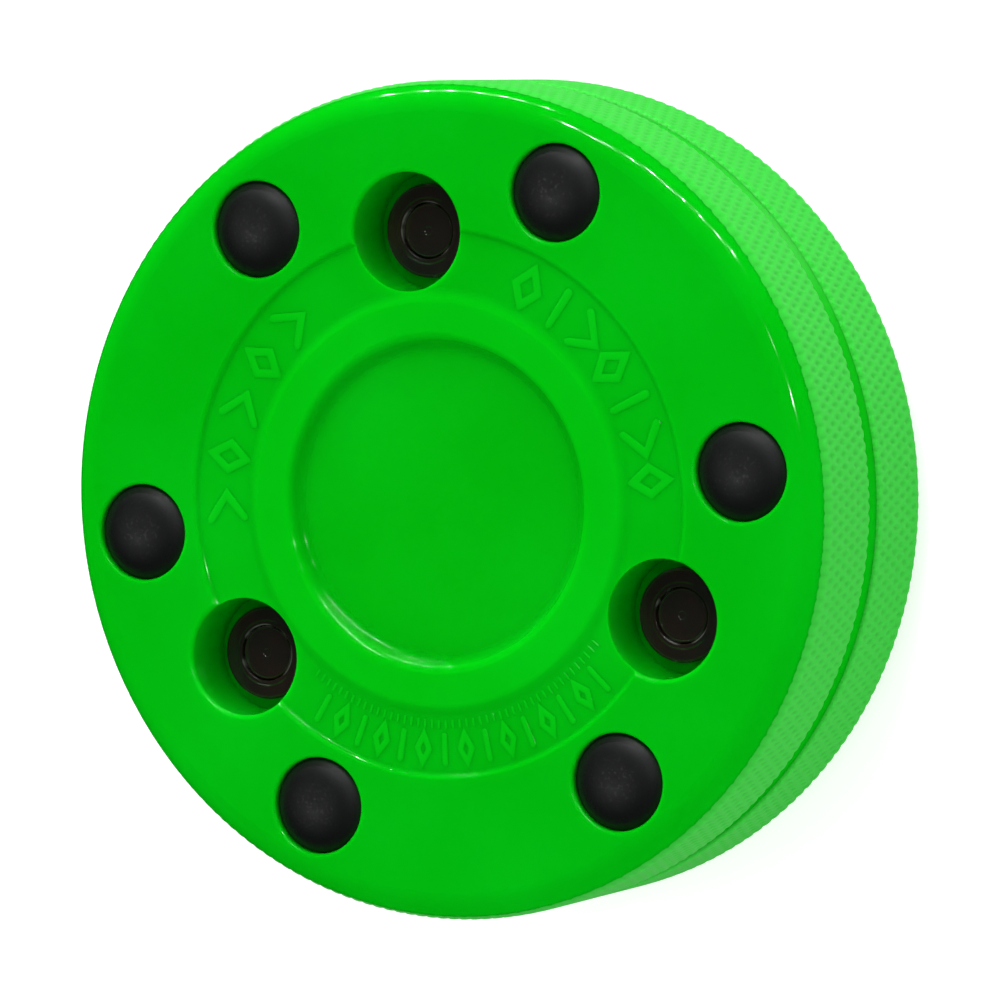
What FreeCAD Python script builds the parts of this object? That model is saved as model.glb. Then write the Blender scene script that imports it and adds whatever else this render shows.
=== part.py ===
"""Two-piece roller hockey puck: two plastic halves held loosely together by three rivets.

Millimetres, +Z up.  The origin is on the surface that the puck rests on, under its centre, so
the lower gliders stand on z = 0.  The two halves are the same moulding: the lower one is the
upper one turned over about the Y axis, and they meet at mid-height.  Each half carries six
pressed-in gliders.  Each rivet is a flanged barrel and a pin headed over inside it; it is
longer than the stack it holds, so the upper half can lift by a fraction of a millimetre.
"""
import FreeCAD, Part
import math
import os

Vector = FreeCAD.Vector
Z_AXIS = Vector(0, 0, 1)

# --- Whole puck -----------------------------------------------------------------------------
puck_diameter = 76.2            # over the tips of the grip pattern on the rim
puck_thickness = 25.4           # from the lower gliders' crowns to the upper ones'
grip_height = 0.2               # how far the grip pattern stands out; the rim here is its root

# --- Halves ---------------------------------------------------------------------------------
edge_round = 2.5                # round between the outer face and the rim
parting_chamfer = 1.2           # bevel of the rim where the two halves meet
parting_blend = 0.6             # round where that bevel runs into the rim
outer_face_width = 13.0         # from the rim to the channel
channel_width = 6.5             # shallow ring-shaped recess that carries the raised marks
channel_depth = 0.35
channel_step_round = 0.4        # both edges of its outer side, which slopes at 45 degrees
ring_width = 3.5                # raised ring between the channel and the dish
ring_slope_width = 0.9          # gentler side from the ring down to the channel
ring_slope_round = 1.2          # both edges of that side
dish_depth = 1.3                # round recess in the middle of the face
dish_wall_lean = 0.4            # how far the dish's wall leans in on its way down
dish_cove = 1.0                 # hollow round at the foot of the wall
dish_lip_round = 0.8

# --- Gliders --------------------------------------------------------------------------------
glider_count = 6                # on each face
glider_diameter = 8.75
glider_land = 0.1               # flat face left between a glider's socket and the edge round
glider_proud = 0.55             # crown above the face
glider_dome_rise = 1.2          # from the dome's edge to its crown
glider_flat_radius = 1.5        # flat on the crown that rides on the floor
glider_seat_depth = 2.2         # from the face to the shoulder under the head
glider_stem_diameter = 4.6
glider_stem_length = 5.0
glider_stem_chamfer = 0.5
glider_head_clearance = 0.06    # radial, head in its counterbore
glider_stem_press = 0.02        # radial interference, stem in its blind hole
glider_stem_end_gap = 0.3
glider_socket_round = 0.3       # rounded lip of the counterbore

# --- Rivets and their pockets ---------------------------------------------------------------
rivet_count = 3
rivet_first_angle = 90.0        # degrees; this pocket lies midway between two gliders
rivet_channel_inset = 0.3       # from the channel's outer edge in to the rivet's centre
rivet_barrel_diameter = 6.2
rivet_barrel_wall = 1.0
rivet_flange_overhang = 1.2     # flange beyond the barrel, all round
rivet_flange_thickness = 1.6
rivet_flange_round = 0.35
rivet_hole_clearance = 0.4      # radial, barrel in the halves
rivet_end_play = 0.8            # how far the two halves can come apart
pocket_clearance = 1.1          # radial, flange in its pocket
pocket_depth = 6.0
pocket_rim_round = 0.4
pin_shank_clearance = 0.025     # radial, pin in the barrel
pin_head_overhang = 0.4         # pin head beyond the barrel's bore, all round
pin_head_thickness = 0.9
pin_head_recess = 0.1           # pin head's top below the barrel flange's top
pin_head_round = 0.3
counterbore_clearance = 0.08    # radial, pin head in the barrel's counterbore
counterbore_round = 0.15        # mouth of the counterbore, and of the pin flange's groove
face_groove_depth = 0.2         # matching ring groove in the pin's own flange

# --- Worked-out sizes -----------------------------------------------------------------------
body_thickness = puck_thickness - 2 * glider_proud
half_height = body_thickness / 2
parting_height = puck_thickness / 2
rim_radius = puck_diameter / 2 - grip_height
channel_outer_radius = rim_radius - outer_face_width
channel_inner_radius = channel_outer_radius - channel_width
dish_radius = channel_inner_radius - ring_width
glider_radius = glider_diameter / 2
glider_stem_radius = glider_stem_diameter / 2
glider_lip_radius = glider_radius + glider_head_clearance + glider_socket_round
glider_circle_radius = rim_radius - edge_round - glider_land - glider_lip_radius
glider_pitch_angle = 360.0 / glider_count
rivet_circle_radius = channel_outer_radius - rivet_channel_inset
rivet_pitch_angle = 360.0 / rivet_count
rivet_barrel_radius = rivet_barrel_diameter / 2
rivet_bore_radius = rivet_barrel_radius - rivet_barrel_wall
rivet_flange_radius = rivet_barrel_radius + rivet_flange_overhang
pocket_radius = rivet_flange_radius + pocket_clearance
pocket_floor = half_height - pocket_depth
rivet_stack = 2 * pocket_floor + rivet_end_play     # between the two flanges' inner faces
pin_head_radius = rivet_bore_radius + pin_head_overhang
counterbore_radius = pin_head_radius + counterbore_clearance
counterbore_depth = pin_head_thickness + pin_head_recess

cut_margin = 1.0                # how far a cutting shape runs past the face that it opens


def outline(corners):
    """Closed wire in the XZ plane through (x, z, radius) corners; a radius makes a tangent arc."""
    points = [Vector(x, 0, z) for x, z, _ in corners]
    edges = []
    starts = []
    ends = []
    arcs = []
    for index, (_, _, radius) in enumerate(corners):
        corner = points[index]
        if radius == 0:
            starts.append(corner)
            ends.append(corner)
            arcs.append(None)
            continue
        back = (points[index - 1] - corner).normalize()
        onward = (points[(index + 1) % len(points)] - corner).normalize()
        half_angle = back.getAngle(onward) / 2
        reach = radius / math.tan(half_angle)
        middle = (back + onward).normalize() * (radius / math.sin(half_angle) - radius)
        starts.append(corner + back * reach)
        ends.append(corner + onward * reach)
        arcs.append(Part.Arc(starts[-1], corner + middle, ends[-1]).toShape())
    for index, arc in enumerate(arcs):
        if arc is not None:
            edges.append(arc)
        next_start = starts[(index + 1) % len(points)]
        if (next_start - ends[index]).Length > 1e-6:
            edges.append(Part.makeLine(ends[index], next_start))
    return Part.Wire(edges)


def turned(corners):
    """Solid made by turning an outline once round the Z axis."""
    face = Part.Face(outline(corners))
    solid = face.revolve(Vector(0, 0, 0), Z_AXIS, 360)
    return solid if solid.Volume > 0 else solid.reversed()


def on_circle(shape, radius, angle):
    """Copy of a shape made at the origin, moved to a place on a circle round the Z axis."""
    turn = math.radians(angle)
    copy = shape.copy()
    copy.translate(Vector(radius * math.cos(turn), radius * math.sin(turn), 0))
    return copy


def glider_angles():
    """Places of one face's gliders, in degrees."""
    return [glider_pitch_angle * index for index in range(glider_count)]


def rivet_angles():
    """Places of the rivets, in degrees."""
    return [rivet_first_angle + rivet_pitch_angle * index for index in range(rivet_count)]


def to_upper(shape):
    """Move a shape made on the parting plane, facing up, to its place in the upper half."""
    copy = shape.copy()
    copy.translate(Vector(0, 0, parting_height))
    return copy


def to_lower(shape):
    """Turn the same shape over about the Y axis, to its place in the lower half."""
    copy = shape.copy()
    copy.rotate(Vector(0, 0, 0), Vector(0, 1, 0), 180)
    copy.translate(Vector(0, 0, parting_height))
    return copy


def half_blank():
    """Plain moulding: parting face at z = 0, grip rim, and the stepped and dished outer face."""
    channel_floor = half_height - channel_depth
    dish_floor = half_height - dish_depth
    return turned([
        (0, 0, 0),
        (rim_radius - parting_chamfer, 0, 0),
        (rim_radius, parting_chamfer, parting_blend),
        (rim_radius, half_height, edge_round),
        (channel_outer_radius, half_height, channel_step_round),
        (channel_outer_radius - channel_depth, channel_floor, channel_step_round),
        (channel_inner_radius + ring_slope_width, channel_floor, ring_slope_round),
        (channel_inner_radius, half_height, ring_slope_round),
        (dish_radius, half_height, dish_lip_round),
        (dish_radius - dish_wall_lean, dish_floor, dish_cove),
        (0, dish_floor, 0),
    ])


def rivet_pocket():
    """Cutting shape for one rivet: clearance hole, pocket and its rounded rim."""
    hole_radius = rivet_barrel_radius + rivet_hole_clearance
    rim = pocket_radius + pocket_rim_round
    return turned([
        (0, -cut_margin, 0),
        (hole_radius, -cut_margin, 0),
        (hole_radius, pocket_floor, 0),
        (pocket_radius, pocket_floor, 0),
        (pocket_radius, half_height, pocket_rim_round),
        (rim, half_height, 0),
        (rim, half_height + cut_margin, 0),
        (0, half_height + cut_margin, 0),
    ])


def glider_socket():
    """Cutting shape for one glider: blind stem hole, counterbore and its rounded lip."""
    head_radius = glider_radius + glider_head_clearance
    stem_radius = glider_stem_radius - glider_stem_press
    seat = half_height - glider_seat_depth
    return turned([
        (0, seat - glider_stem_length - glider_stem_end_gap, 0),
        (stem_radius, seat - glider_stem_length - glider_stem_end_gap, 0),
        (stem_radius, seat, 0),
        (head_radius, seat, 0),
        (head_radius, half_height, glider_socket_round),
        (glider_lip_radius, half_height, 0),
        (glider_lip_radius, half_height + cut_margin, 0),
        (0, half_height + cut_margin, 0),
    ])


def make_half():
    """One half of the puck: the blank with its rivet pockets and glider sockets."""
    half = half_blank()
    pocket = rivet_pocket()
    socket = glider_socket()
    for angle in rivet_angles():
        half = half.cut(on_circle(pocket, rivet_circle_radius, angle))
    for angle in glider_angles():
        half = half.cut(on_circle(socket, glider_circle_radius, angle))
    return half


def make_glider():
    """Mushroom-shaped plug: a domed head with a flat crown, and the stem pressed into the half."""
    seat = half_height - glider_seat_depth
    crown = half_height + glider_proud
    dome_edge = crown - glider_dome_rise
    stem_end = seat - glider_stem_length
    # A sphere through the dome's edge and the rim of the crown's flat.
    run = glider_radius ** 2 - glider_flat_radius ** 2
    centre_height = (crown ** 2 - dome_edge ** 2 - run) / (2 * (crown - dome_edge))
    dome_radius = math.hypot(glider_radius, dome_edge - centre_height)
    mid_radius = (glider_radius + glider_flat_radius) / 2
    mid_height = centre_height + math.sqrt(dome_radius ** 2 - mid_radius ** 2)
    dome = Part.Arc(
        Vector(glider_radius, 0, dome_edge),
        Vector(mid_radius, 0, mid_height),
        Vector(glider_flat_radius, 0, crown),
    ).toShape()
    corners = [
        Vector(glider_flat_radius, 0, crown),
        Vector(0, 0, crown),
        Vector(0, 0, stem_end),
        Vector(glider_stem_radius - glider_stem_chamfer, 0, stem_end),
        Vector(glider_stem_radius, 0, stem_end + glider_stem_chamfer),
        Vector(glider_stem_radius, 0, seat),
        Vector(glider_radius, 0, seat),
        Vector(glider_radius, 0, dome_edge),
    ]
    lines = [Part.makeLine(first, second) for first, second in zip(corners, corners[1:])]
    face = Part.Face(Part.Wire([dome] + lines))
    solid = face.revolve(Vector(0, 0, 0), Z_AXIS, 360)
    return solid if solid.Volume > 0 else solid.reversed()


def make_rivet_barrel():
    """Flanged barrel; the flange's underside is at the pocket floor, the tube runs down."""
    top = pocket_floor + rivet_flange_thickness
    return turned([
        (rivet_bore_radius, pocket_floor - rivet_stack, 0),
        (rivet_barrel_radius, pocket_floor - rivet_stack, 0),
        (rivet_barrel_radius, pocket_floor, 0),
        (rivet_flange_radius, pocket_floor, 0),
        (rivet_flange_radius, top, rivet_flange_round),
        (counterbore_radius, top, counterbore_round),
        (counterbore_radius, top - counterbore_depth, 0),
        (rivet_bore_radius, top - counterbore_depth, 0),
    ])


def make_rivet_pin():
    """Pin through the barrel: its own flange below, and its head in the barrel's counterbore."""
    flange_inner = pocket_floor - rivet_stack
    flange_outer = flange_inner - rivet_flange_thickness
    shank_radius = rivet_bore_radius - pin_shank_clearance
    head_seat = pocket_floor + rivet_flange_thickness - counterbore_depth
    head_top = head_seat + pin_head_thickness
    return turned([
        (0, flange_outer, 0),
        (pin_head_radius, flange_outer, counterbore_round),
        (pin_head_radius, flange_outer + face_groove_depth, 0),
        (counterbore_radius, flange_outer + face_groove_depth, 0),
        (counterbore_radius, flange_outer, counterbore_round),
        (rivet_flange_radius, flange_outer, rivet_flange_round),
        (rivet_flange_radius, flange_inner, 0),
        (shank_radius, flange_inner, 0),
        (shank_radius, head_seat, 0),
        (pin_head_radius, head_seat, 0),
        (pin_head_radius, head_top, pin_head_round),
        (0, head_top, 0),
    ])


def write(name, shape):
    """Write one sub-part, checked to be one sound solid."""
    assert shape.isValid() and len(shape.Solids) == 1, name
    shape.Solids[0].exportStep("parts/" + name + ".step")
    print(name, round(shape.Volume, 1), "mm3")


def main():
    """Make every sub-part in its place and write it."""
    os.makedirs("parts", exist_ok=True)
    half = make_half()
    write("top_half", to_upper(half))
    write("bottom_half", to_lower(half))
    glider = make_glider()
    for number, angle in enumerate(glider_angles(), start=1):
        placed = on_circle(glider, glider_circle_radius, angle)
        write("top_glider_%d" % number, to_upper(placed))
        # Turning over about Y carries angle a to 180 - a, so this one lands under its twin.
        mirrored = on_circle(glider, glider_circle_radius, 180 - angle)
        write("bottom_glider_%d" % number, to_lower(mirrored))
    barrel = make_rivet_barrel()
    pin = make_rivet_pin()
    for number, angle in enumerate(rivet_angles(), start=1):
        write("rivet_barrel_%d" % number, to_upper(on_circle(barrel, rivet_circle_radius, angle)))
        write("rivet_pin_%d" % number, to_upper(on_circle(pin, rivet_circle_radius, angle)))


main()
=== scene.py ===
# %% [markdown]
# # A roller hockey puck
#
# The real puck is two bright green mouldings held together by three dark plastic rivets, with
# six black gliders pressed into each face.  The CAD model already has the exact bodies, so
# this lesson loads them as a fixed frame and gives them their looks: finishes for the mouldings,
# the fine grip pattern round the rim, the small raised marks in the face's channel, the worn
# gliders and the shiny rivet heads.  Everything is in metres, in the CAD model's own frame.

import math

import bpy
import numpy as np
from mathutils import Euler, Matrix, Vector


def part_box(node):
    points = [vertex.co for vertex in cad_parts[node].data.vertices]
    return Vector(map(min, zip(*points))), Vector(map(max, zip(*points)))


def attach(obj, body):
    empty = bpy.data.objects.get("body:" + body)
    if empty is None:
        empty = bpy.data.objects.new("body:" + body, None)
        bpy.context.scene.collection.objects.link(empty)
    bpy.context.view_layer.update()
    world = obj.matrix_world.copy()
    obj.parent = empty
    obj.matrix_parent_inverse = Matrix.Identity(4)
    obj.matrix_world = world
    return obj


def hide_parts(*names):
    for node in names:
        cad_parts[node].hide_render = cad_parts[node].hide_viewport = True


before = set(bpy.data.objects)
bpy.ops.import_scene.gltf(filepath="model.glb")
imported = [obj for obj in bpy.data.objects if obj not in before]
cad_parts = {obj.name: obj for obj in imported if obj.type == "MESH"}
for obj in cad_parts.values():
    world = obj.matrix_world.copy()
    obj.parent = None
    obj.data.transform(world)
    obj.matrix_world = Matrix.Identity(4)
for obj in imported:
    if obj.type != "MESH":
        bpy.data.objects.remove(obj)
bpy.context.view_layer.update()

# %% [markdown]
# ## Where things are
#
# A piece sits right only if its place comes from the CAD model itself.  A node's box gives the
# face, the parting plane and the rim directly, and the middle of a glider's or rivet's box is
# its axis.  Sizes inside a face, such as the channel's depth, are not in any box, so they are
# written out in millimetres where they are first needed.

# %% Measure the frame
MM = 0.001
half_low, half_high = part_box("top_half")
RIM_RADIUS = half_high.x / MM
FACE_HEIGHT = half_high.z / MM
PARTING_HEIGHT = half_low.z / MM
HALF_HEIGHT = FACE_HEIGHT - PARTING_HEIGHT
CHANNEL_DEPTH = 0.35             # mm below the face
CHANNEL_FLOOR = HALF_HEIGHT - CHANNEL_DEPTH


def axis_of(node):
    """Middle of a node's box seen from above, in mm: a turned part's own axis."""
    low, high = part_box(node)
    return (low.x + high.x) / 2 / MM, (low.y + high.y) / 2 / MM


print("rim radius, face and parting height, mm:",
      round(RIM_RADIUS, 2), round(FACE_HEIGHT, 2), round(PARTING_HEIGHT, 2))

# %% [markdown]
# ## Grids, outlines and meshes
#
# Nearly every piece here is a grid of points: rows along a profile, columns round an axis or
# along a path.  The faces of such a grid follow from its numbering alone, so one helper makes
# them for all pieces.  Building whole arrays at once is quick even for fifty thousand points,
# and the formula of the shape stays readable.

# %% Helpers for grids and meshes
def grid_faces(rows, columns, wrap_rows=False):
    """Four-sided faces between neighbours of a rows by columns grid, numbered row by row.

    Point (i, j) has number i * columns + j.  The last column always joins the first, and the
    faces look along columns x rows."""
    row = np.arange(rows if wrap_rows else rows - 1)[:, None]
    column = np.arange(columns)[None, :]
    below, beside = (row + 1) % rows, (column + 1) % columns
    corners = (row * columns + column, row * columns + beside,
               below * columns + beside, below * columns + column)
    return np.stack(corners, axis=-1).reshape(-1, 4)


def make_piece(name, points, faces, sharp_angle=40.0):
    """A mesh object at the origin from points in mm and arrays of three- or four-sided faces."""
    mesh = bpy.data.meshes.new(name)
    points = np.asarray(points, np.float32) * MM
    mesh.vertices.add(len(points))
    mesh.vertices.foreach_set("co", points.ravel())
    corners = np.concatenate([array.ravel() for array in faces]).astype(np.int32)
    sizes = np.concatenate([np.full(len(array), array.shape[1]) for array in faces])
    mesh.loops.add(len(corners))
    mesh.loops.foreach_set("vertex_index", corners)
    mesh.polygons.add(len(sizes))
    starts = np.concatenate([[0], np.cumsum(sizes)[:-1]]).astype(np.int32)
    mesh.polygons.foreach_set("loop_start", starts)
    mesh.polygons.foreach_set("use_smooth", np.ones(len(sizes), bool))
    mesh.update(calc_edges=True)
    mesh.validate()
    mesh.set_sharp_from_angle(angle=math.radians(sharp_angle))
    piece = bpy.data.objects.new(name, mesh)
    bpy.context.scene.collection.objects.link(piece)
    return piece


def in_top(points):
    """Points made on the parting plane, facing up, carried to the upper half."""
    return points + np.array([0, 0, PARTING_HEIGHT])


def in_bottom(points):
    """The same points turned half a turn about the Y axis, to the lower half."""
    return points * np.array([-1, 1, -1]) + np.array([0, 0, PARTING_HEIGHT])


def rounded_outline(corners, steps=5, closed=False):
    """Points along straight runs whose corners are replaced by tangent arcs.

    Each corner is (r, z, radius).  The arc's centre is on the corner's bisector, radius over
    sin(half angle) away, and its points turn evenly from one tangent point to the other."""
    places = np.array([corner[:2] for corner in corners], float)
    found = []
    for index, (_, _, radius) in enumerate(corners):
        place = places[index]
        at_end = not closed and index in (0, len(corners) - 1)
        if radius == 0 or at_end:
            found.append(place[None])
            continue
        back = places[index - 1] - place
        onward = places[(index + 1) % len(places)] - place
        back, onward = back / np.linalg.norm(back), onward / np.linalg.norm(onward)
        half = math.acos(np.clip(back @ onward, -1, 1)) / 2
        middle = (back + onward) / np.linalg.norm(back + onward)
        centre = place + middle * radius / math.sin(half)
        start = place + back * radius / math.tan(half) - centre
        end = place + onward * radius / math.tan(half) - centre
        sweep = math.pi - 2 * half
        share = np.linspace(0, 1, steps)[:, None]
        arc = np.sin((1 - share) * sweep) * start + np.sin(share * sweep) * end
        found.append(centre + arc / math.sin(sweep))
    return np.concatenate(found)


def turned(profile, columns, closed=False):
    """Surface made by carrying a profile of (r, z) points once round the Z axis.

    Point (i, j) is (r_i cos a_j, r_i sin a_j, z_i).  A profile that is not closed starts and
    ends on the axis, and each end is one point with a fan of triangles round it.  Where a
    profile rises on its outside, the faces look inwards."""
    angle = np.linspace(0, 2 * math.pi, columns, endpoint=False)
    body = profile if closed else profile[1:-1]
    radius, height = body[:, :1], body[:, 1:]
    points = np.stack([radius * np.cos(angle), radius * np.sin(angle),
                       np.broadcast_to(height, (len(body), columns))], axis=-1).reshape(-1, 3)
    quads = grid_faces(len(body), columns, wrap_rows=closed)[:, ::-1]
    if closed:
        return points, [quads]
    first, last = len(points), len(points) + 1
    points = np.concatenate([points, [[0, 0, profile[0, 1]], [0, 0, profile[-1, 1]]]])
    here = np.arange(columns)
    beside = (here + 1) % columns
    top_row = (len(body) - 1) * columns
    first_fan = np.stack([np.full(columns, first), here, beside], axis=-1)
    last_fan = np.stack([np.full(columns, last), top_row + beside, top_row + here], axis=-1)
    return points, [quads, first_fan, last_fan]


print("helpers ready")

# %% [markdown]
# ## Camera
#
# The puck is looked at from above and to one side, through a long lens, so its circle hardly
# narrows with distance.  The camera is placed by the point it aims at, its direction from there
# and its distance, and then rolled about its own axis: the puck lies flat here, and the roll
# makes it look as if it stood on its rim.

# %% Place the camera
def direction(azimuth, elevation):
    """Unit vector towards that azimuth and elevation, in degrees."""
    turn, lift = math.radians(azimuth), math.radians(elevation)
    return Vector((math.cos(turn) * math.cos(lift), math.sin(turn) * math.cos(lift),
                   math.sin(lift)))


aim = Vector((-2.9715, -4.4026, 22.1649)) * MM
camera_azimuth, camera_elevation, camera_roll = -118.3607, 63.0700, -97.5500
camera_distance = 604.15 * MM
camera = bpy.data.objects.new("camera", bpy.data.cameras.new("camera"))
camera.data.lens, camera.data.sensor_width = 240.9, 36.0
camera.data.clip_start, camera.data.clip_end = 0.01, 20.0
camera.location = aim + direction(camera_azimuth, camera_elevation) * camera_distance
upright = Euler((math.radians(90 - camera_elevation), 0, math.radians(camera_azimuth + 90)), "XYZ")
rolled = upright.to_matrix() @ Euler((0, 0, math.radians(camera_roll)), "XYZ").to_matrix()
camera.rotation_euler = rolled.to_euler("XYZ")
bpy.context.scene.collection.objects.link(camera)
bpy.context.scene.camera = camera
print("camera at, mm:", [round(v / MM, 1) for v in camera.location])

# %% [markdown]
# ## Studio
#
# The puck stands in a small white tent: pale all round, lit softly from everywhere, with a few
# small lamps that draw the bright glints on its rounded edges.  The floor glows a little, as the
# base of a light tent does, so that shadows stay faint.  The big soft lamps light the plastic but
# are not mirrored in it, because the tent's cloth hides them on the real set.

# %% Scene helpers
scene = bpy.context.scene
scene.view_settings.view_transform = "Standard"
scene.view_settings.look = "None"


def new_material(name):
    """An empty node material, its tree and a principled shader wired to the output."""
    material = bpy.data.materials.new(name)
    material.use_nodes = True
    tree = material.node_tree
    tree.nodes.clear()
    shader = tree.nodes.new("ShaderNodeBsdfPrincipled")
    output = tree.nodes.new("ShaderNodeOutputMaterial")
    tree.links.new(shader.outputs["BSDF"], output.inputs["Surface"])
    return material, tree, shader


def feed(tree, socket, value):
    """Link a socket into another, or set the number or colour that it holds."""
    if isinstance(value, bpy.types.NodeSocket):
        tree.links.new(value, socket)
    else:
        socket.default_value = value


def add_node(tree, kind, settings=None, **inputs):
    """A node of that kind; settings are its own properties, inputs are values or sockets."""
    node = tree.nodes.new("ShaderNode" + kind)
    for key, value in (settings or {}).items():
        setattr(node, key, value)
    for key, value in inputs.items():
        feed(tree, node.inputs[key.replace("_", " ")], value)
    return node


def calculate(tree, operation, *values):
    """Result of a Math node; each value is a number or a socket."""
    node = add_node(tree, "Math", {"operation": operation})
    for socket, value in zip(node.inputs, values):
        feed(tree, socket, value)
    return node.outputs["Value"]


def step_between(tree, value, start, end, kind="SMOOTHSTEP"):
    """0 at start and 1 at end, eased between them unless kind is LINEAR."""
    return add_node(tree, "MapRange", {"interpolation_type": kind}, Value=value,
                    From_Min=start, From_Max=end).outputs["Result"]


def spread(tree, value, low, high):
    """A value from 0 to 1 carried to between low and high."""
    return add_node(tree, "MapRange", Value=value, To_Min=low, To_Max=high).outputs["Result"]


def colour_ramp(tree, value, stops):
    """Colour that follows a value through stops of (position, (red, green, blue))."""
    node = add_node(tree, "ValToRGB", Fac=value)
    elements = node.color_ramp.elements
    for index in (0, -1):
        position, colour = stops[index]
        elements[index].position, elements[index].color = position, (*colour, 1)
    for position, colour in stops[1:-1]:
        elements.new(position).color = (*colour, 1)
    return node.outputs["Color"]


def mix_colours(tree, blend, factor, first, second):
    """Two colours mixed; on a Mix node they are inputs 6 and 7, and the result is output 2."""
    node = add_node(tree, "Mix", {"data_type": "RGBA", "blend_type": blend}, Factor=factor)
    feed(tree, node.inputs[6], first)
    feed(tree, node.inputs[7], second)
    return node.outputs[2]


BUMP_DEPTH = 0.02 * MM


def add_bump(tree, shader, height, strength):
    """Fine relief in the shading only, wired to the shader's normal."""
    bump = add_node(tree, "Bump", Height=height, Strength=strength, Distance=BUMP_DEPTH)
    tree.links.new(bump.outputs["Normal"], shader.inputs["Normal"])


# %% Helper for lamps
LAMP_AIM = Vector((0, 0, 0.012))   # about half way up the puck, in metres


def add_lamp(name, azimuth, elevation, distance, size, radiance, glossy, diffuse=True,
             tall=1.0):
    """An oval area lamp that faces the puck, size wide and tall times as high.

    Its power gives it that radiance: power = pi * area * radiance."""
    data = bpy.data.lights.new(name, "AREA")
    data.shape = "ELLIPSE"
    data.size, data.size_y = size, size * tall
    data.energy = radiance * math.pi * math.pi * size * size * tall / 4
    lamp = bpy.data.objects.new(name, data)
    way = direction(azimuth, elevation)
    lamp.location = LAMP_AIM + way * distance
    lamp.rotation_euler = way.to_track_quat("Z", "Y").to_euler()
    lamp.visible_camera = False
    lamp.visible_glossy = glossy
    lamp.visible_diffuse = diffuse
    scene.collection.objects.link(lamp)


# %% Floor and surroundings
FLOOR_LEVEL = -0.02              # mm, just under the lower gliders' crowns
angles = np.linspace(0, 2 * math.pi, 96, endpoint=False)
rings = np.array([0.05, 0.2, 0.8, 5.0])[:, None] / MM
floor_points = np.stack([rings * np.cos(angles), rings * np.sin(angles),
                         np.full((len(rings), len(angles)), FLOOR_LEVEL)], axis=-1)
floor_points = np.concatenate([floor_points.reshape(-1, 3), [[0, 0, FLOOR_LEVEL]]])
here = np.arange(len(angles))
middle_fan = np.stack([np.full(len(angles), len(floor_points) - 1), here,
                       (here + 1) % len(angles)], axis=-1)
floor = make_piece("floor", floor_points,
                   [grid_faces(len(rings), len(angles))[:, ::-1], middle_fan])
material, tree, shader = new_material("tent_floor")
place = add_node(tree, "TexCoord").outputs["Object"]
grain = add_node(tree, "TexNoise", Vector=place, Scale=40.0, Detail=4.0)
feed(tree, shader.inputs["Base Color"], spread(tree, grain.outputs["Fac"], 0.62, 0.66))
shader.inputs["Roughness"].default_value = 0.9
shader.inputs["Specular IOR Level"].default_value = 0.1
shader.inputs["Emission Color"].default_value = (1, 1, 1, 1)
shader.inputs["Emission Strength"].default_value = 0.6
floor.data.materials.append(material)

world = bpy.data.worlds.new("tent")
scene.world = world
world.use_nodes = True
world.node_tree.nodes.clear()
sky = add_node(world.node_tree, "Background", Color=(1, 1, 1, 1), Strength=0.8)
add_node(world.node_tree, "OutputWorld", Surface=sky.outputs["Background"])
world.cycles_visibility.glossy = False
floor.visible_glossy = False

# %% Lamps
SOFT_LAMPS = {                   # azimuth and elevation, degrees; distance and size, m; radiance
    "tent_top": (-35, 42, 1.3, 0.7, 6.2),
    "tent_side": (-30, 8, 1.1, 0.8, 6.6),
    "tent_left": (53, 38, 1.2, 0.8, 1.3),
    "tent_low": (-165, 8, 1.1, 0.8, 2.0),
}
STRIP_DISTANCE, STRIP_WIDTH, STRIP_TALL, STRIP_RADIANCE = 0.8, 0.006, 8.0, 330.0
STRIP_UPPER = [(-29, 37), (-33, 41), (-37, 39), (-44, 36), (-50, 32), (-54, 34), (-59, 31),
               (-64, 28), (-70, 25), (-75, 19)]
STRIP_LOWER = [(-3, 2), (-9, 2), (-13, 2), (-18, 2), (-22, 3), (-25, 2), (-30, 2)]

for name, settings in SOFT_LAMPS.items():
    add_lamp(name, *settings, glossy=False)
add_lamp("spark", -105, 51, 0.9, 0.04, 80.0, glossy=True)
add_lamp("spark_tail", -90, 54, 0.9, 0.05, 9.0, glossy=True, diffuse=False)
for number, (azimuth, elevation) in enumerate(STRIP_UPPER + STRIP_LOWER):
    add_lamp("strip_%d" % number, azimuth, elevation, STRIP_DISTANCE, STRIP_WIDTH,
             STRIP_RADIANCE, glossy=True, diffuse=False, tall=STRIP_TALL)

# %% [markdown]
# ## Green moulding
#
# The halves are injection moulded in a tough, waxy green plastic.  Their outer faces are fairly
# glossy with a faint orange-peel, the dish in the middle is duller and finely grained, and the
# colour is never perfectly even.  The raised ring round the dish and the seam's groove are painted
# paler: painted light on the ring, and painted light that lifts the shade in the groove.  The
# pattern reads Object coordinates, so it stays put on the part, and the dish is found by its
# distance from the puck's axis.

# %% Green moulding finish
# Painted light: the raised ring and the seam's groove are made paler than the rest of the face.
RING_RISE, RING_FALL = (14.6, 15.6), (19.2, 18.2)   # mm from the axis: none, and full ring
DISH_EDGE = (14.3, 13.6)         # mm from the axis: glossy face, and grained dish
SEAM_EDGE = (1.7, 1.2)           # mm from the parting plane: face's green, and seam's
DEEP_GREEN, FRESH_GREEN = (0.0005, 0.40, 0.0030), (0.0010, 0.45, 0.0060)
PAINTED_LIGHT_BY = (2.0, 1.22, 1.3, 1)   # painted light: what the green is multiplied by on the seam, lifting the groove's shade
RING_LIGHT_SHARE = 0.5                 # how much of that painted light the ring gets


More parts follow.
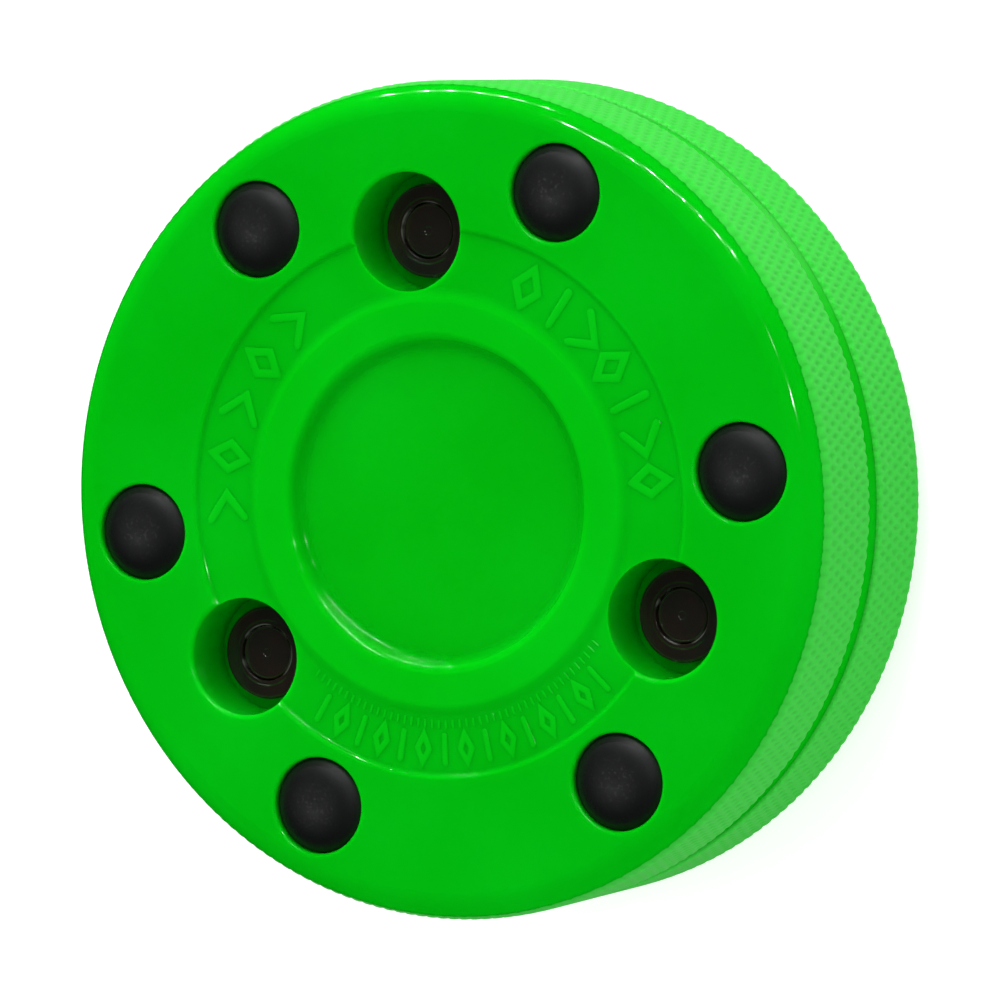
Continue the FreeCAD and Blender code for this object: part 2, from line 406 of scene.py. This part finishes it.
def green_moulding(name, see_in):
    """Glossy green plastic with faint mottling, a duller, grained dish in the middle, and painted
    light that makes the raised ring and the seam paler.

    Light wanders up to see_in millimetres inside it before it comes out again."""
    material, tree, shader = new_material(name)
    place = add_node(tree, "TexCoord").outputs["Object"]
    flat = add_node(tree, "VectorMath", {"operation": "MULTIPLY"})
    feed(tree, flat.inputs[0], place)
    feed(tree, flat.inputs[1], (1, 1, 0))
    reach = add_node(tree, "VectorMath", {"operation": "LENGTH"},
                     Vector=flat.outputs["Vector"]).outputs["Value"]
    height = add_node(tree, "SeparateXYZ", Vector=place).outputs["Z"]
    apart = calculate(tree, "ABSOLUTE", calculate(tree, "SUBTRACT", height, PARTING_HEIGHT * MM))
    ring_rise, ring_fall, dish = (
        step_between(tree, reach, start * MM, end * MM)
        for start, end in (RING_RISE, RING_FALL, DISH_EDGE))
    seam = step_between(tree, apart, SEAM_EDGE[0] * MM, SEAM_EDGE[1] * MM, "LINEAR")
    cloud = add_node(tree, "TexNoise", Vector=place, Scale=55.0, Detail=3.0).outputs["Fac"]
    tint = colour_ramp(tree, cloud, [(0.3, DEEP_GREEN), (0.72, FRESH_GREEN)])
    # Painted light: the ring and the seam are multiplied paler, as light on the ring and to lift
    # the groove's shade.
    ring = calculate(tree, "MULTIPLY", ring_rise, ring_fall)
    painted_light = calculate(tree, "MULTIPLY_ADD", ring, RING_LIGHT_SHARE, seam)
    feed(tree, shader.inputs["Base Color"],
         mix_colours(tree, "MULTIPLY", painted_light, tint, PAINTED_LIGHT_BY))
    peel = add_node(tree, "TexNoise", Vector=place, Scale=420.0, Detail=2.0)
    grain = add_node(tree, "TexNoise", Vector=place, Scale=2600.0, Detail=4.0)
    relief = add_node(tree, "Mix", {"data_type": "FLOAT"}, Factor=dish, A=peel.outputs["Fac"],
                      B=grain.outputs["Fac"])
    gloss = spread(tree, calculate(tree, "MAXIMUM", seam, dish), 0.06, 0.34)
    feed(tree, shader.inputs["Roughness"], calculate(tree, "MULTIPLY_ADD", cloud, 0.03, gloss))
    add_bump(tree, shader, relief.outputs["Result"], 0.25)
    shader.inputs["IOR"].default_value = 1.48
    shader.inputs["Subsurface Weight"].default_value = 1.0 if see_in else 0.0
    shader.inputs["Subsurface Radius"].default_value = (0.15, 1.0, 0.25)
    shader.inputs["Subsurface Scale"].default_value = see_in * MM
    return material


green = green_moulding("green_moulding", 1.6)
for node in ("top_half", "bottom_half"):
    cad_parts[node].data.materials[0] = green
print("green moulding on both halves")

# %% [markdown]
# ## Grip on the rim
#
# Fingers and stick blades hold the rim, so it is covered with a fine lattice of slanting ridges,
# which leave diamond-shaped pits between them.  The ridges are real relief, a fifth of a
# millimetre high, and they show in outline, so they are geometry and not a bump.  Each band is a
# closed ring: its outer skin is the lattice, and its ends and back are sunk into the moulding.
# Rows and columns are spaced so that every ridge line runs exactly through grid points.

# %% Shape of the grip
PITS_AROUND = 216                # pits round the rim in one row
PIT_HEIGHT = 2.564               # mm, from one pit to the next one above it
SAMPLES = 8                      # grid steps for each pit, both ways
GRIP_START, GRIP_ROWS = 1.1, 31  # mm above the parting plane, and rows of points
GRIP_ROOT, GRIP_RELIEF = 0.07, 0.13
BLEND_RADIUS, BLEND_END = 0.6, 1.4485   # round at the seam, and where it meets the rim
EDGE_ROUND = 2.5                 # mm, round between the rim and the face
GRIP_SUNK = 0.03                 # mm below the rim's surface where the pattern has faded out
GRIP_FADE = 1.1                  # mm over which it sinks into the rim near the face
BACK_SUNK, END_SUNK = 0.25, 0.6  # mm inside the rim, the band's two hidden rows


def ridge(phase):
    """Height of one family of ridges: 1 on whole phases, 0 half way, eased at both."""
    away = np.abs(phase - np.round(phase)) * 2
    slope = 1 - away
    return slope * slope * (3 - 2 * slope)


def grip_band():
    """Ring whose outer skin is R + root + relief * union of two slanting families of ridges.

    Phases are n a / 2 pi + z / h and n a / 2 pi - z / h for angle a, height z, n pits round and
    pit height h; the union is 1 - (1 - first)(1 - second).  The last two rows lie inside."""
    columns = PITS_AROUND * SAMPLES
    round_phase = np.arange(columns)[None, :] / SAMPLES
    rise = np.arange(GRIP_ROWS)[:, None] / SAMPLES
    crest = 1 - (1 - ridge(round_phase + rise)) * (1 - ridge(round_phase - rise))
    height = GRIP_START + rise * PIT_HEIGHT
    short_of_end = (height[-1] - height) / GRIP_FADE
    full = np.clip(short_of_end, 0, 1) * np.ones_like(crest)
    full = full * full * (3 - 2 * full)
    into_blend = np.clip(BLEND_END - height, 0, BLEND_RADIUS)
    wall = RIM_RADIUS - BLEND_RADIUS + np.sqrt(BLEND_RADIUS ** 2 - into_blend ** 2)
    into_round = np.clip(height - HALF_HEIGHT + EDGE_ROUND, 0, EDGE_ROUND)
    wall = wall - EDGE_ROUND + np.sqrt(EDGE_ROUND ** 2 - into_round ** 2)
    radius = wall + (GRIP_ROOT + GRIP_RELIEF * crest + GRIP_SUNK) * full - GRIP_SUNK
    crest = crest * full
    height = np.broadcast_to(height, crest.shape)
    sunk = np.full((1, columns), RIM_RADIUS - BACK_SUNK)
    radius = np.concatenate([sunk, radius, sunk - (END_SUNK - BACK_SUNK)])
    height = np.concatenate([height[:1] - 0.06, height, height[-1:] + 0.06])
    crest = np.concatenate([sunk * 0, crest, sunk * 0])
    angle = round_phase * 2 * math.pi / PITS_AROUND
    points = np.stack([radius * np.cos(angle), radius * np.sin(angle), height], axis=-1)
    return points.reshape(-1, 3), crest.ravel()


band_points, band_crest = grip_band()
band_faces = grid_faces(GRIP_ROWS + 2, PITS_AROUND * SAMPLES, wrap_rows=True)[:, ::-1]
grips = {}
for side, move in (("top", in_top), ("bottom", in_bottom)):
    grip = make_piece(side + "_grip", move(band_points), [band_faces], sharp_angle=60.0)
    level = grip.data.attributes.new("crest", "FLOAT", "POINT")
    level.data.foreach_set("value", band_crest.astype(np.float32))
    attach(grip, side + "_half")
    grips[side] = grip
print("grip band points:", len(band_points), "height, mm:",
      round(GRIP_START, 2), "to", round(GRIP_START + (GRIP_ROWS - 1) / SAMPLES * PIT_HEIGHT, 2))

# %% [markdown]
# ## Grip finish
#
# The ridges came off the mould matt.  Their colour is painted paler and the pits a fuller, deeper
# green: painted light on the ridges and painted shade in the pits.  The mesh carries the relief's
# height at each point, so the finish can follow it.

# %% Grip finish
# Painted light and shade: the ridge colour is paler, as if lit, and the pit colour deeper, as if
# shaded.
PIT_SHADE_GREEN, RIDGE_LIT_GREEN = (0.003, 0.46, 0.009), (0.010, 0.55, 0.018)


def green_grip():
    """Matt green with painted light and shade: paler on the ridges and full green in the pits."""
    material, tree, shader = new_material("green_grip")
    place = add_node(tree, "TexCoord").outputs["Object"]
    crest = add_node(tree, "Attribute", {"attribute_name": "crest"}).outputs["Fac"]
    scuff = add_node(tree, "TexNoise", Vector=place, Scale=900.0, Detail=3.0).outputs["Fac"]
    # Painted light and shade follow the relief's height, with a little random scuff added on top.
    ridge_light_and_scuff = calculate(tree, "MULTIPLY_ADD", scuff, 0.3, crest)
    tint = colour_ramp(tree, ridge_light_and_scuff, [(0.15, PIT_SHADE_GREEN), (1.0, RIDGE_LIT_GREEN)])
    feed(tree, shader.inputs["Base Color"], tint)
    feed(tree, shader.inputs["Roughness"], spread(tree, scuff, 0.42, 0.6))
    add_bump(tree, shader, scuff, 0.3)
    shader.inputs["IOR"].default_value = 1.48
    shader.inputs["Sheen Weight"].default_value = 0.085
    shader.inputs["Sheen Roughness"].default_value = 0.45
    shader.inputs["Sheen Tint"].default_value = (1, 1, 1, 1)
    return material


grip_finish = green_grip()
for grip in grips.values():
    grip.data.materials.append(grip_finish)

# %% [markdown]
# ## Raised marks in the channel
#
# The shallow channel round each face carries small raised marks: two groups of tall ones, a row
# of short ones and a line of tiny ticks inside that row.  Here they are plain chevrons, lozenges
# and bars.  Each is a rounded strip carried along a short path and then bent round the channel,
# its foot sunk just below the channel's floor.

# %% Shape of the marks
STRIP_ACROSS = np.array([-1.0, -0.82, -0.5, 0.0, 0.5, 0.82, 1.0])
STRIP_UP = np.array([-0.4, 0.35, 0.85, 1.0, 0.85, 0.35, -0.4])
END_REACH = np.array([[0.85], [0.5]])   # past an open end, in half widths, outer ring first
END_WIDTH, END_LIFT = [0.45, 0.86], [0.7, 0.97]   # those rings' shares of width and height
MOTIFS = {
    "chevron": (np.array([[-0.7, 1.0], [0.8, 0.0], [-0.7, -1.0]]), False),
    "lozenge": (np.array([[0.0, 1.0], [0.8, 0.0], [0.0, -1.0], [-0.8, 0.0]]), True),
    "bar": (np.array([[0.0, 1.0], [0.0, -1.0]]), False),
}


def strip_along(path, half_width, relief, closed):
    """Rounded strip along a path: offset = across * half width along the corner's bisector.

    At a corner the two sides' normals are added and divided by 1 + their product, which keeps
    the strip's width.  An open path gets two shrinking rings at each end to round it off."""
    ahead = np.roll(path, -1, axis=0) - path
    behind = path - np.roll(path, 1, axis=0)
    if not closed:
        ahead[-1], behind[0] = behind[-1], ahead[0]
    ahead = ahead / np.linalg.norm(ahead, axis=1, keepdims=True)
    behind = behind / np.linalg.norm(behind, axis=1, keepdims=True)
    side = np.stack([-(ahead + behind)[:, 1], (ahead + behind)[:, 0]], axis=-1)
    side = side / (1 + (ahead * behind).sum(axis=1, keepdims=True))
    width, lift = np.ones(len(path)), np.ones(len(path))
    if not closed:
        reach = half_width * END_REACH
        path = np.concatenate([path[:1] - ahead[:1] * reach, path,
                               path[-1:] + ahead[-1:] * reach[::-1]])
        side = np.concatenate([side[:1], side[:1], side, side[-1:], side[-1:]])
        width = np.concatenate([END_WIDTH, width, END_WIDTH[::-1]])
        lift = np.concatenate([END_LIFT, lift, END_LIFT[::-1]])
    across = side[:, None] * (STRIP_ACROSS[:, None] * half_width)
    flat = path[:, None] + across * width[:, None, None]
    up = np.where(STRIP_UP > 0, STRIP_UP * lift[:, None], STRIP_UP) * relief
    return np.concatenate([flat, up[..., None]], axis=-1)


def strip_faces(rows, closed):
    """Faces of a strip's closed cross-sections, with its two end sections capped.

    The walls look inwards and the caps outwards."""
    across = len(STRIP_ACROSS)
    quads = grid_faces(rows, across, wrap_rows=closed)
    if closed:
        return [quads]
    start = np.arange(across)[None, :]
    end = start[:, ::-1] + (rows - 1) * across
    return [quads, start, end]


def channel_mark(motif, angle, radius, half_size, half_width, relief):
    """A motif bent into the channel: x runs along the arc, y outwards, z up from the floor."""
    path, closed = MOTIFS[motif]
    strip = strip_along(path * half_size, half_width, relief, closed)
    reach = radius + strip[..., 1]
    turn = math.radians(angle) - strip[..., 0] / radius
    points = np.stack([reach * np.cos(turn), reach * np.sin(turn),
                       CHANNEL_FLOOR + strip[..., 2]], axis=-1)
    return points.reshape(-1, 3), strip_faces(len(strip), closed)


# %% Lay out the marks
TALL_MARK = (21.6, np.array([1.5, 1.75]), 0.42, 0.055)   # radius, half size, half width and
SHORT_MARK = (22.4, np.array([0.75, 1.25]), 0.32, 0.06)  # relief, in mm
TICK = (20.1, np.array([0.2, 0.3]), 0.14, 0.04)
ROWS = [                         # first and last angle, how many, motifs in turn, their make
    (56, 6, 5, ("chevron", "lozenge"), TALL_MARK),
    (-62, -120, 7, ("lozenge", "bar", "chevron"), TALL_MARK),
    (190, 112, 15, ("bar", "lozenge"), SHORT_MARK),
    (196, 106, 46, ("bar",), TICK),
]
layout = [(motifs[number % len(motifs)], angle, *make)
          for first, last, many, motifs, make in ROWS
          for number, angle in enumerate(np.linspace(first, last, many))]
mark_points, mark_faces, count = [], [], 0
for entry in layout:
    points, faces = channel_mark(*entry)
    mark_points.append(points)
    mark_faces.extend(array + count for array in faces)
    count += len(points)
mark_points = np.concatenate(mark_points)
mark_finish = green_moulding("green_mark", 0)
for side, move in (("top", in_top), ("bottom", in_bottom)):
    marks = make_piece(side + "_marks", move(mark_points), mark_faces, sharp_angle=55.0)
    marks.data.materials.append(mark_finish)
    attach(marks, side + "_half")
print("marks on each face:", len(layout), "points:", count)

# %% [markdown]
# ## Gliders
#
# Each glider is a mushroom-shaped plug of hard black plastic whose domed head stands half a
# millimetre proud of the face, so that the puck slides on six small flats.  A turned profile
# gives it: the stem, the head's skirt, a rounded shoulder, the dome, and the little gate dimple
# left by the mould in the middle of the crown.

# %% Shape of a glider
glider_low, glider_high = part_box("top_glider_1")
GLIDER_RADIUS = (glider_high.x - glider_low.x) / 2 / MM
CROWN_HEIGHT = glider_high.z / MM - PARTING_HEIGHT
STEM_END = glider_low.z / MM - PARTING_HEIGHT
DOME_RISE, FLAT_RADIUS = 1.2, 1.5
STEM_RADIUS, STEM_CHAMFER, HEAD_DEPTH = 2.3, 0.5, 2.2
SEAT_HEIGHT = HALF_HEIGHT - HEAD_DEPTH
SHOULDER_ROUND = 0.16
GATE_MARK = [(0.62, 0), (0.52, 0.05), (0.3, 0.06), (0, 0.06)]   # reach, depth below the crown


def glider_profile():
    """Stem, skirt and shoulder, then a dome that falls by 0.72 run^2 + 0.28 run^4 of its rise.

    Run is 0 at the edge of the flat crown and 1 at the glider's radius."""
    reach = np.linspace(GLIDER_RADIUS, FLAT_RADIUS, 12)
    run = (reach - FLAT_RADIUS) / (GLIDER_RADIUS - FLAT_RADIUS)
    fall = DOME_RISE * (0.72 * run ** 2 + 0.28 * run ** 4)
    corners = [(0, STEM_END, 0), (STEM_RADIUS - STEM_CHAMFER, STEM_END, 0),
               (STEM_RADIUS, STEM_END + STEM_CHAMFER, 0),
               (STEM_RADIUS, SEAT_HEIGHT, 0), (GLIDER_RADIUS, SEAT_HEIGHT, 0),
               (GLIDER_RADIUS, CROWN_HEIGHT - DOME_RISE, SHOULDER_ROUND)]
    corners += [(r, CROWN_HEIGHT - f, 0) for r, f in zip(reach[1:], fall[1:])]
    corners += [(r, CROWN_HEIGHT - depth, 0) for r, depth in GATE_MARK]
    return rounded_outline(corners)


glider_outline = glider_profile()
glider_points, glider_faces = turned(glider_outline, 72)
glider_reach = np.hypot(glider_points[:, 0], glider_points[:, 1]) / GLIDER_RADIUS
gliders = []
for side, turn_over in (("top", False), ("bottom", True)):
    for number in range(1, 7):
        node = "%s_glider_%d" % (side, number)
        x, y = axis_of(node)
        if turn_over:
            points = in_bottom(glider_points + np.array([-x, y, 0]))
        else:
            points = in_top(glider_points + np.array([x, y, 0]))
        glider = make_piece(node + "_plug", points, glider_faces, sharp_angle=50.0)
        level = glider.data.attributes.new("reach", "FLOAT", "POINT")
        level.data.foreach_set("value", glider_reach.astype(np.float32))
        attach(glider, side + "_half")
        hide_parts(node)
        gliders.append(glider)
print("gliders:", len(gliders), "points each:", len(glider_points))

# %% [markdown]
# ## Glider finish
#
# Hard black plastic that has slid over a floor: charcoal rather than jet, softly shining, with
# fine pale scuffs on the crown.  The crown is also painted brighter than the edge, as painted
# light on the dome, and both fade towards the edge.

# %% Glider finish
# The second colour is reached on the crown, where pale scuffs and painted light on the dome add
# up.
CHARCOAL, CROWN_SCUFF_AND_LIGHT = (0.0042, 0.0050, 0.0050), (0.034, 0.034, 0.034)


def black_glider():
    """Charcoal plastic with pale specks on the crown, and painted light that makes the crown
    brighter than the edge.
    """
    material, tree, shader = new_material("black_glider_plastic")
    place = add_node(tree, "TexCoord").outputs["Object"]
    reach = add_node(tree, "Attribute", {"attribute_name": "reach"}).outputs["Fac"]
    crown = step_between(tree, reach, 0.75, 0.05)
    speck = add_node(tree, "TexNoise", Vector=place, Scale=3200.0, Detail=3.0).outputs["Fac"]
    sparse = step_between(tree, speck, 0.56, 0.74, "LINEAR")
    haze = calculate(tree, "MULTIPLY_ADD", sparse, 0.6, 0.34)
    # Painted light: the crown is brightened towards the middle even without specks, as light
    # falling on the dome.
    scuffs_and_crown_light = calculate(tree, "MULTIPLY", haze, crown)
    tint = colour_ramp(tree, scuffs_and_crown_light, [(0.0, CHARCOAL), (1.0, CROWN_SCUFF_AND_LIGHT)])
    feed(tree, shader.inputs["Base Color"], tint)
    soft = add_node(tree, "TexNoise", Vector=place, Scale=700.0, Detail=3.0).outputs["Fac"]
    feed(tree, shader.inputs["Roughness"], spread(tree, soft, 0.42, 0.58))
    add_bump(tree, shader, speck, 0.25)
    shader.inputs["IOR"].default_value = 1.5
    return material


glider_finish = black_glider()
for glider in gliders:
    glider.data.materials.append(glider_finish)

# %% [markdown]
# ## Rivets
#
# A rivet is two turned plastic parts.  The barrel has a broad flange with a slightly hollow
# face and a bead round the mouth of its counterbore; the pin comes up through it and its head
# sits in that mouth, with a small dimple in the middle.  The pin's own flange, below, copies
# the same rings so that both faces of the puck look alike.

# %% Shapes of the rivet's parts
barrel_low, barrel_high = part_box("rivet_barrel_1")
pin_low, pin_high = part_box("rivet_pin_1")
FLANGE_RADIUS = (barrel_high.x - barrel_low.x) / 2 / MM
FLANGE_TOP, BARREL_FOOT = barrel_high.z / MM, barrel_low.z / MM
PIN_TOP, PIN_FOOT = pin_high.z / MM, pin_low.z / MM
BARREL_RADIUS, BORE_RADIUS, SHANK_RADIUS = 3.1, 2.1, 2.075
HEAD_RADIUS, MOUTH_RADIUS = 2.5, 2.58
FLANGE_THICKNESS, MOUTH_DEPTH, HOLLOW = 1.6, 1.0, 0.07
FLANGE_RELIEF = 0.03             # mm left under the lower flange when the halves are apart
FLANGE_FACE = [                  # from the rim inwards: reach, depth below the face, round
    (FLANGE_RADIUS, 0, 0.3), (FLANGE_RADIUS - 0.45, HOLLOW * 0.6, 0.05), (3.1, HOLLOW, 0.05),
    (2.92, 0, 0.08), (MOUTH_RADIUS, 0, 0.12),
]
GROOVE_DEPTH = 0.2               # mm, between the pin's lower head and its flange


def barrel_profile():
    """Closed outline of the barrel: tube, flange with hollow face, bead and counterbore."""
    top, under = FLANGE_TOP, FLANGE_TOP - FLANGE_THICKNESS
    return rounded_outline([
        (BORE_RADIUS, BARREL_FOOT, 0), (BARREL_RADIUS, BARREL_FOOT, 0),
        (BARREL_RADIUS, under, 0), (FLANGE_RADIUS, under, 0),
        *[(reach, top - depth, radius) for reach, depth, radius in FLANGE_FACE],
        (MOUTH_RADIUS, top - MOUTH_DEPTH, 0), (BORE_RADIUS, top - MOUTH_DEPTH, 0),
    ], closed=True)


def pin_profile():
    """Outline of the pin from its lower flange up to its head, both ends on the axis."""
    inner = PIN_FOOT + FLANGE_THICKNESS - FLANGE_RELIEF
    seat = FLANGE_TOP - MOUTH_DEPTH
    foot = [(0, PIN_FOOT + 0.08, 0), (0.32, PIN_FOOT + 0.08, 0.05), (0.42, PIN_FOOT, 0.05),
            (HEAD_RADIUS, PIN_FOOT, 0.12), (HEAD_RADIUS, PIN_FOOT + GROOVE_DEPTH, 0),
            (MOUTH_RADIUS, PIN_FOOT + GROOVE_DEPTH, 0),
            *[(reach, PIN_FOOT + depth, radius) for reach, depth, radius in FLANGE_FACE[::-1]],
            (FLANGE_RADIUS, inner, 0)]
    head = [(SHANK_RADIUS, inner, 0), (SHANK_RADIUS, seat, 0), (HEAD_RADIUS, seat, 0),
            (HEAD_RADIUS, PIN_TOP, 0.3), (0.42, PIN_TOP - 0.03, 0.05),
            (0.32, PIN_TOP - 0.1, 0.05), (0, PIN_TOP - 0.1, 0)]
    return rounded_outline(foot + head)


barrel_points, barrel_faces = turned(barrel_profile(), 96, closed=True)
pin_points, pin_faces = turned(pin_profile(), 96)
rivet_pieces = []
for number in (1, 2, 3):
    for kind, points, faces in (("barrel", barrel_points, barrel_faces),
                                ("pin", pin_points, pin_faces)):
        node = "rivet_%s_%d" % (kind, number)
        placed = points + np.array([*axis_of(node), 0])
        piece = make_piece(node + "_turned", placed, faces, sharp_angle=45.0)
        level = piece.data.attributes.new("reach", "FLOAT", "POINT")
        level.data.foreach_set("value", np.hypot(points[:, 0], points[:, 1]).astype(np.float32))
        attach(piece, "rivet_%d" % number)
        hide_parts(node)
        rivet_pieces.append(piece)
print("rivet parts:", len(rivet_pieces), "points:", len(barrel_points), len(pin_points))

# %% [markdown]
# ## Rivet finish
#
# Glossy, almost black plastic with a hint of dark red where light comes through it.  The rims
# of the head, the mouth and the flange carry painted highlights: pale rings, broken into glints.

# %% Rivet finish
NEAR_BLACK, RED_BLACK = (0.0105, 0.0105, 0.0085), (0.0180, 0.0100, 0.0085)
# Painted highlights: pale rings on the rims of the head, the mouth and the flange.
GLINT_PALE = (0.10, 0.10, 0.09, 1)
GLINTS_FROM = 2.2                # mm from the rivet's axis, inside the first ring of painted glints
GLINT_RINGS = [(2.38, 0.0), (2.5, 1.0), (2.66, 1.0), (2.74, 0.0), (FLANGE_RADIUS - 0.22, 0.0)]


def dark_rivet():
    """Near-black glossy plastic, faintly red, with slight waviness in its shine and painted glints
    on its rims.
    """
    material, tree, shader = new_material("dark_rivet_plastic")
    place = add_node(tree, "TexCoord").outputs["Object"]
    cloud = add_node(tree, "TexNoise", Vector=place, Scale=260.0, Detail=3.0).outputs["Fac"]
    tint = colour_ramp(tree, cloud, [(0.35, NEAR_BLACK), (0.7, RED_BLACK)])
    reach = add_node(tree, "Attribute", {"attribute_name": "reach"}).outputs["Fac"]
    span = FLANGE_RADIUS - GLINTS_FROM
    stops = [((radius - GLINTS_FROM) / span, (share,) * 3) for radius, share in GLINT_RINGS]
    # Painted glints: the rings, broken into patches by noise, are mixed into the colour.
    glint_rings = colour_ramp(tree, step_between(tree, reach, GLINTS_FROM, FLANGE_RADIUS, "LINEAR"),
                        [(0.0, (0, 0, 0)), *stops, (1.0, (1, 1, 1))])
    patchy = add_node(tree, "TexNoise", Vector=place, Scale=420.0, Detail=2.0).outputs["Fac"]
    painted_glint = calculate(tree, "MULTIPLY", glint_rings, step_between(tree, patchy, 0.52, 0.66, "LINEAR"))
    feed(tree, shader.inputs["Base Color"], mix_colours(tree, "MIX", painted_glint, tint, GLINT_PALE))
    wave = add_node(tree, "TexNoise", Vector=place, Scale=900.0, Detail=2.0).outputs["Fac"]
    feed(tree, shader.inputs["Roughness"], spread(tree, wave, 0.12, 0.26))
    add_bump(tree, shader, wave, 0.3)
    shader.inputs["IOR"].default_value = 1.5
    return material


rivet_finish = dark_rivet()
for piece in rivet_pieces:
    piece.data.materials.append(rivet_finish)
